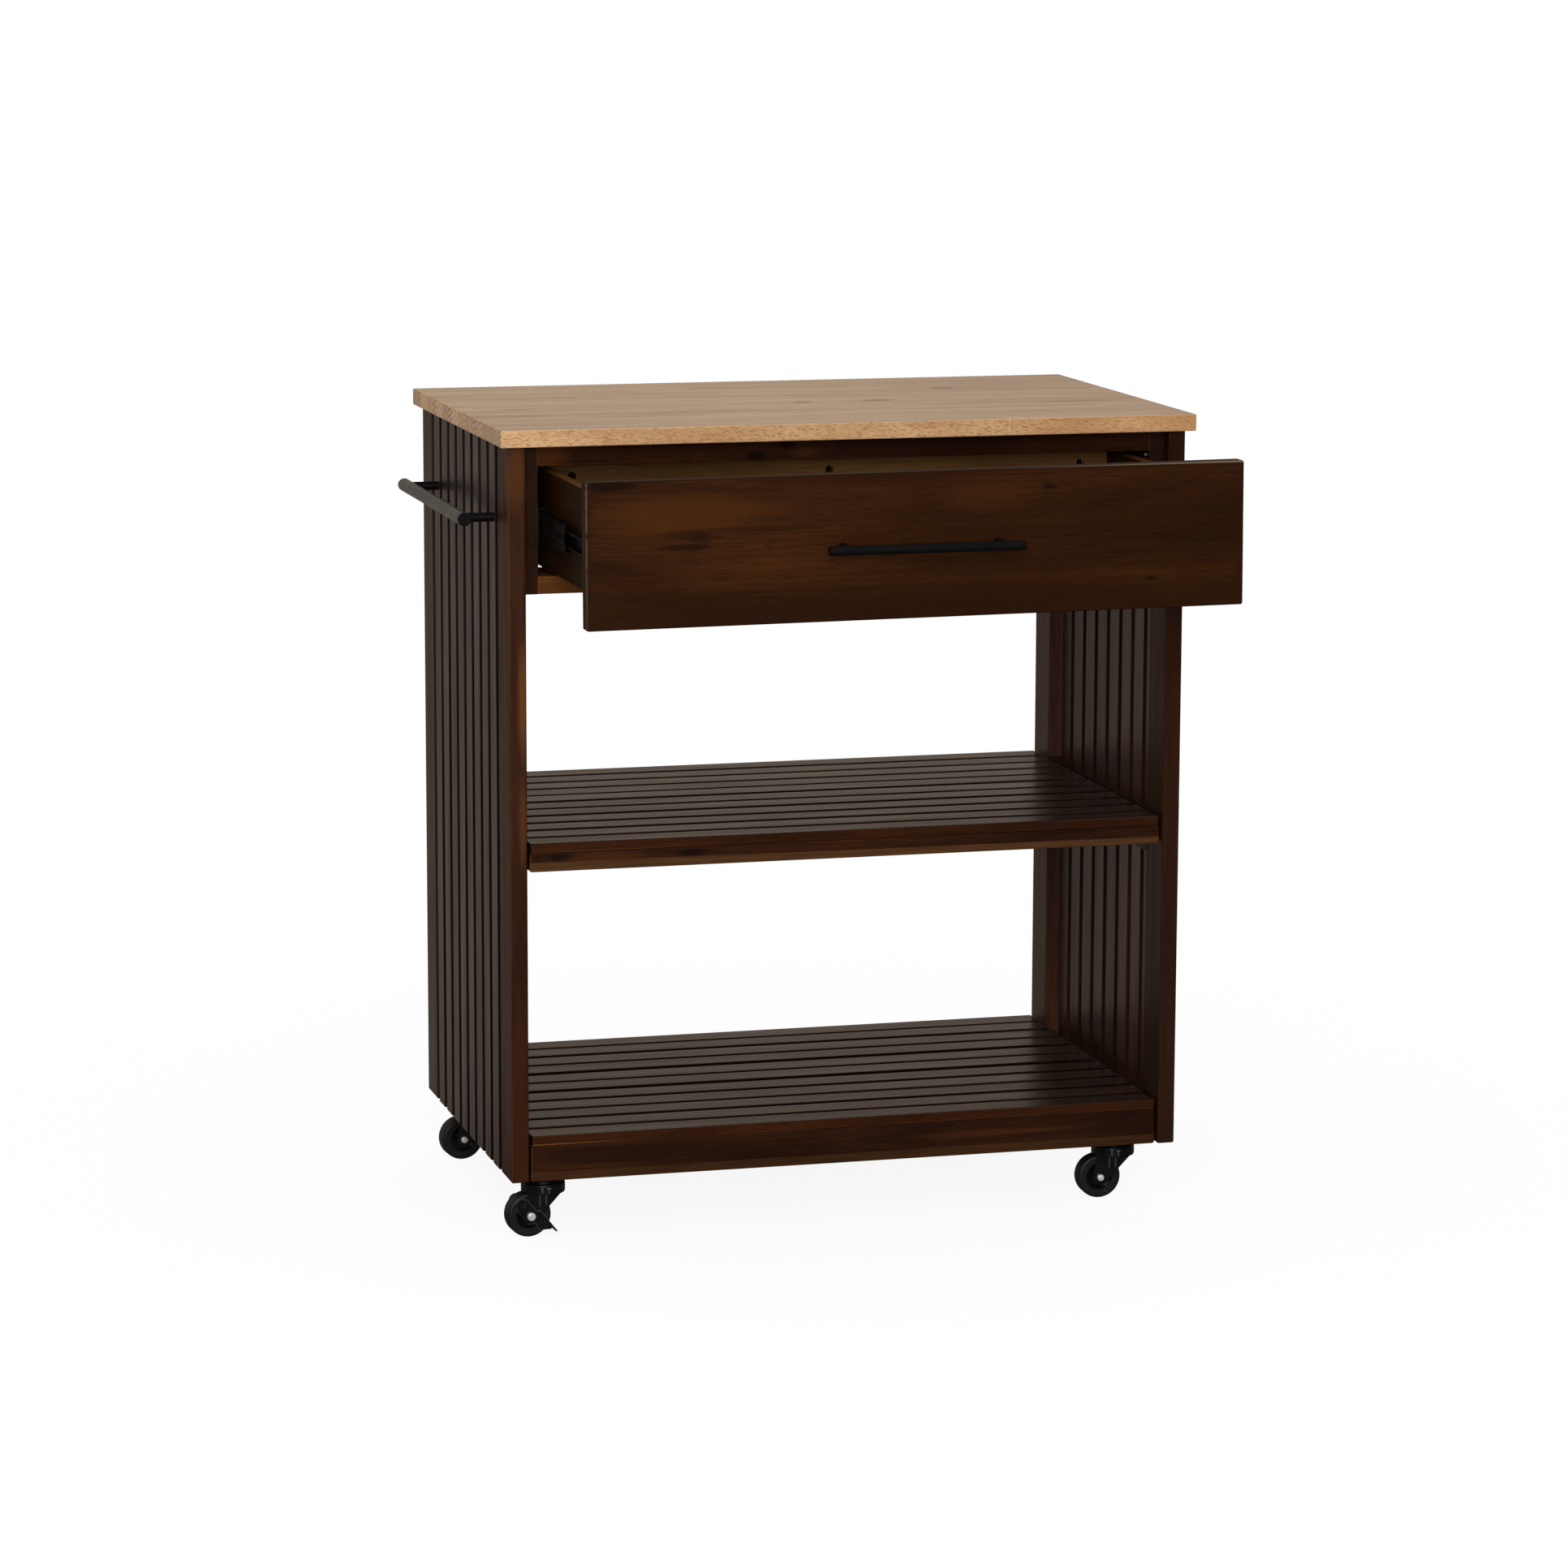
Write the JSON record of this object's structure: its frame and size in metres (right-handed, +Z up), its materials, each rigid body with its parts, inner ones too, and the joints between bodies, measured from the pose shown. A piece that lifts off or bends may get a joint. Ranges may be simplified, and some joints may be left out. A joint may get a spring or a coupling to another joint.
{
  "type": "kitchen cart",
  "caption": "Rolling kitchen cart with a wood worktop, slatted sides, a full-width drawer on slides, slatted shelves, a side towel bar and swivel casters, two with brakes.",
  "frame": {"origin": "on the floor, under the middle of the whole outline with the drawer standing open as stored and the towel bar included; the worktop's centre is at x 0.0165, y 0.1451 m", "axes": "+Z up, -Y towards the drawer front, +X to the right seen from the front"},
  "size_m": [0.833, 0.7902, 0.917],
  "materials": {
    "oak_top": "honey-coloured oiled hardwood, satin",
    "dark_wood": "dark walnut stain, satin, lighter on worn edges",
    "slat_wood": "dark walnut stain with a greyish sheen, satin",
    "front_wood": "brown stain with horizontal grain and darker burnished border, satin",
    "box_wood": "brown stained thin boards, satin",
    "black_metal": "matt black powder coat",
    "slide_steel": "black zinc, oiled",
    "black_steel": "black coated pressed steel",
    "zinc": "bright zinc",
    "screw_steel": "dull zinc",
    "wheel_rubber": "satin black tread on a glossy black core"
  },
  "bodies": {
    "root": {"worktop": "oak_top", "stile_front_right": "dark_wood", "stile_rear_right": "dark_wood", "stile_front_left": "dark_wood", "stile_rear_left": "dark_wood", "runner_board_right": "dark_wood", "runner_board_left": "dark_wood", "front_top_stretcher": "dark_wood", "front_bottom_stretcher": "dark_wood", "rear_apron": "dark_wood", "side_slats_right": "slat_wood", "side_slats_left": "slat_wood", "side_bearers_right": "slat_wood", "side_bearers_left": "slat_wood", "mid_shelf_front_rail": "dark_wood", "mid_shelf_rear_rail": "dark_wood", "mid_shelf_slats": "dark_wood", "mid_shelf_cleats": "dark_wood", "bottom_shelf_front_rail": "dark_wood", "bottom_shelf_rear_rail": "dark_wood", "bottom_shelf_slats": "dark_wood", "bottom_shelf_cleats": "dark_wood", "caster_blocks": "dark_wood", "slide_outer_right": "slide_steel", "slide_outer_left": "slide_steel", "towel_bar": "black_metal", "towel_bar_caps": "black_metal", "towel_bar_posts": "black_metal", "towel_bar_screws": "screw_steel", "frame_screws": "screw_steel", "caster_plates": "black_steel", "caster_kingpins": "black_steel", "caster_plate_screws": "screw_steel"},
    "drawer": {"drawer_front": "front_wood", "pull_bar": "black_metal", "pull_posts": "black_metal", "drawer_screws": "screw_steel", "slide_inner_right": "slide_steel", "slide_inner_left": "slide_steel", "drawer_inner_front": "box_wood", "drawer_side_right": "box_wood", "drawer_side_left": "box_wood", "drawer_back": "box_wood", "drawer_bottom": "box_wood"},
    "slide_middle_right": {"slide_middle_right": "slide_steel"},
    "slide_middle_left": {"slide_middle_left": "slide_steel"},
    "swivel_front_left": {"caster_fork_front_left": "black_steel", "caster_axle_front_left": "zinc"},
    "wheel_front_left": {"caster_wheel_front_left": "wheel_rubber"},
    "brake_front_left": {"brake_lever_front_left": "black_steel"},
    "swivel_front_right": {"caster_fork_front_right": "black_steel", "caster_axle_front_right": "zinc"},
    "wheel_front_right": {"caster_wheel_front_right": "wheel_rubber"},
    "swivel_rear_left": {"caster_fork_rear_left": "black_steel", "caster_axle_rear_left": "zinc"},
    "wheel_rear_left": {"caster_wheel_rear_left": "wheel_rubber"},
    "swivel_rear_right": {"caster_fork_rear_right": "black_steel", "caster_axle_rear_right": "zinc"},
    "wheel_rear_right": {"caster_wheel_rear_right": "wheel_rubber"},
    "brake_rear_right": {"brake_lever_rear_right": "black_steel"}
  },
  "joints": [
    {"name": "drawer_slide", "type": "slide", "parent": "root", "child": "drawer", "axis": [0, -1, 0], "range_m": [-0.259, 0.09]},
    {"name": "slide_middle_right_travel", "type": "slide", "parent": "root", "child": "slide_middle_right", "axis": [0, -1, 0], "range_m": [-0.1295, 0.045]},
    {"name": "slide_middle_left_travel", "type": "slide", "parent": "root", "child": "slide_middle_left", "axis": [0, -1, 0], "range_m": [-0.1295, 0.045]},
    {"name": "swivel_front_left_turn", "type": "hinge", "parent": "root", "child": "swivel_front_left", "pos_m": [-0.3281, -0.04687, 0.0254], "axis": [0, 0, 1], "continuous": true},
    {"name": "wheel_front_left_roll", "type": "hinge", "parent": "swivel_front_left", "child": "wheel_front_left", "pos_m": [-0.34655, -0.04826, 0.0254], "axis": [-0.075, 0.9972, 0], "continuous": true},
    {"name": "brake_front_left_press", "type": "hinge", "parent": "swivel_front_left", "child": "brake_front_left", "pos_m": [-0.34655, -0.04826, 0.0254], "axis": [-0.075, 0.9972, 0], "range_deg": [-25, 0]},
    {"name": "swivel_front_right_turn", "type": "hinge", "parent": "root", "child": "swivel_front_right", "pos_m": [0.35142, -0.03893, 0.0254], "axis": [0, 0, 1], "continuous": true},
    {"name": "wheel_front_right_roll", "type": "hinge", "parent": "swivel_front_right", "child": "wheel_front_right", "pos_m": [0.33293, -0.03828, 0.0254], "axis": [0.0349, 0.9994, 0], "continuous": true},
    {"name": "swivel_rear_left_turn", "type": "hinge", "parent": "root", "child": "swivel_rear_left", "pos_m": [-0.32863, 0.32658, 0.0254], "axis": [0, 0, 1], "continuous": true},
    {"name": "wheel_rear_left_roll", "type": "hinge", "parent": "swivel_rear_left", "child": "wheel_rear_left", "pos_m": [-0.34702, 0.32464, 0.0254], "axis": [-0.1045, 0.9945, 0], "continuous": true},
    {"name": "swivel_rear_right_turn", "type": "hinge", "parent": "root", "child": "swivel_rear_right", "pos_m": [0.356, 0.3311, 0.0254], "axis": [0, 0, 1], "continuous": true},
    {"name": "wheel_rear_right_roll", "type": "hinge", "parent": "swivel_rear_right", "child": "wheel_rear_right", "pos_m": [0.33754, 0.32981, 0.0254], "axis": [-0.0698, 0.9976, 0], "continuous": true},
    {"name": "brake_rear_right_press", "type": "hinge", "parent": "swivel_rear_right", "child": "brake_rear_right", "pos_m": [0.33754, 0.32981, 0.0254], "axis": [-0.0698, 0.9976, 0], "range_deg": [-25, 0]}
  ],
  "couplings": [
    {"joint": "slide_middle_right_travel", "follows": "drawer_slide", "ratio": 0.5},
    {"joint": "slide_middle_left_travel", "follows": "drawer_slide", "ratio": 0.5}
  ]
}
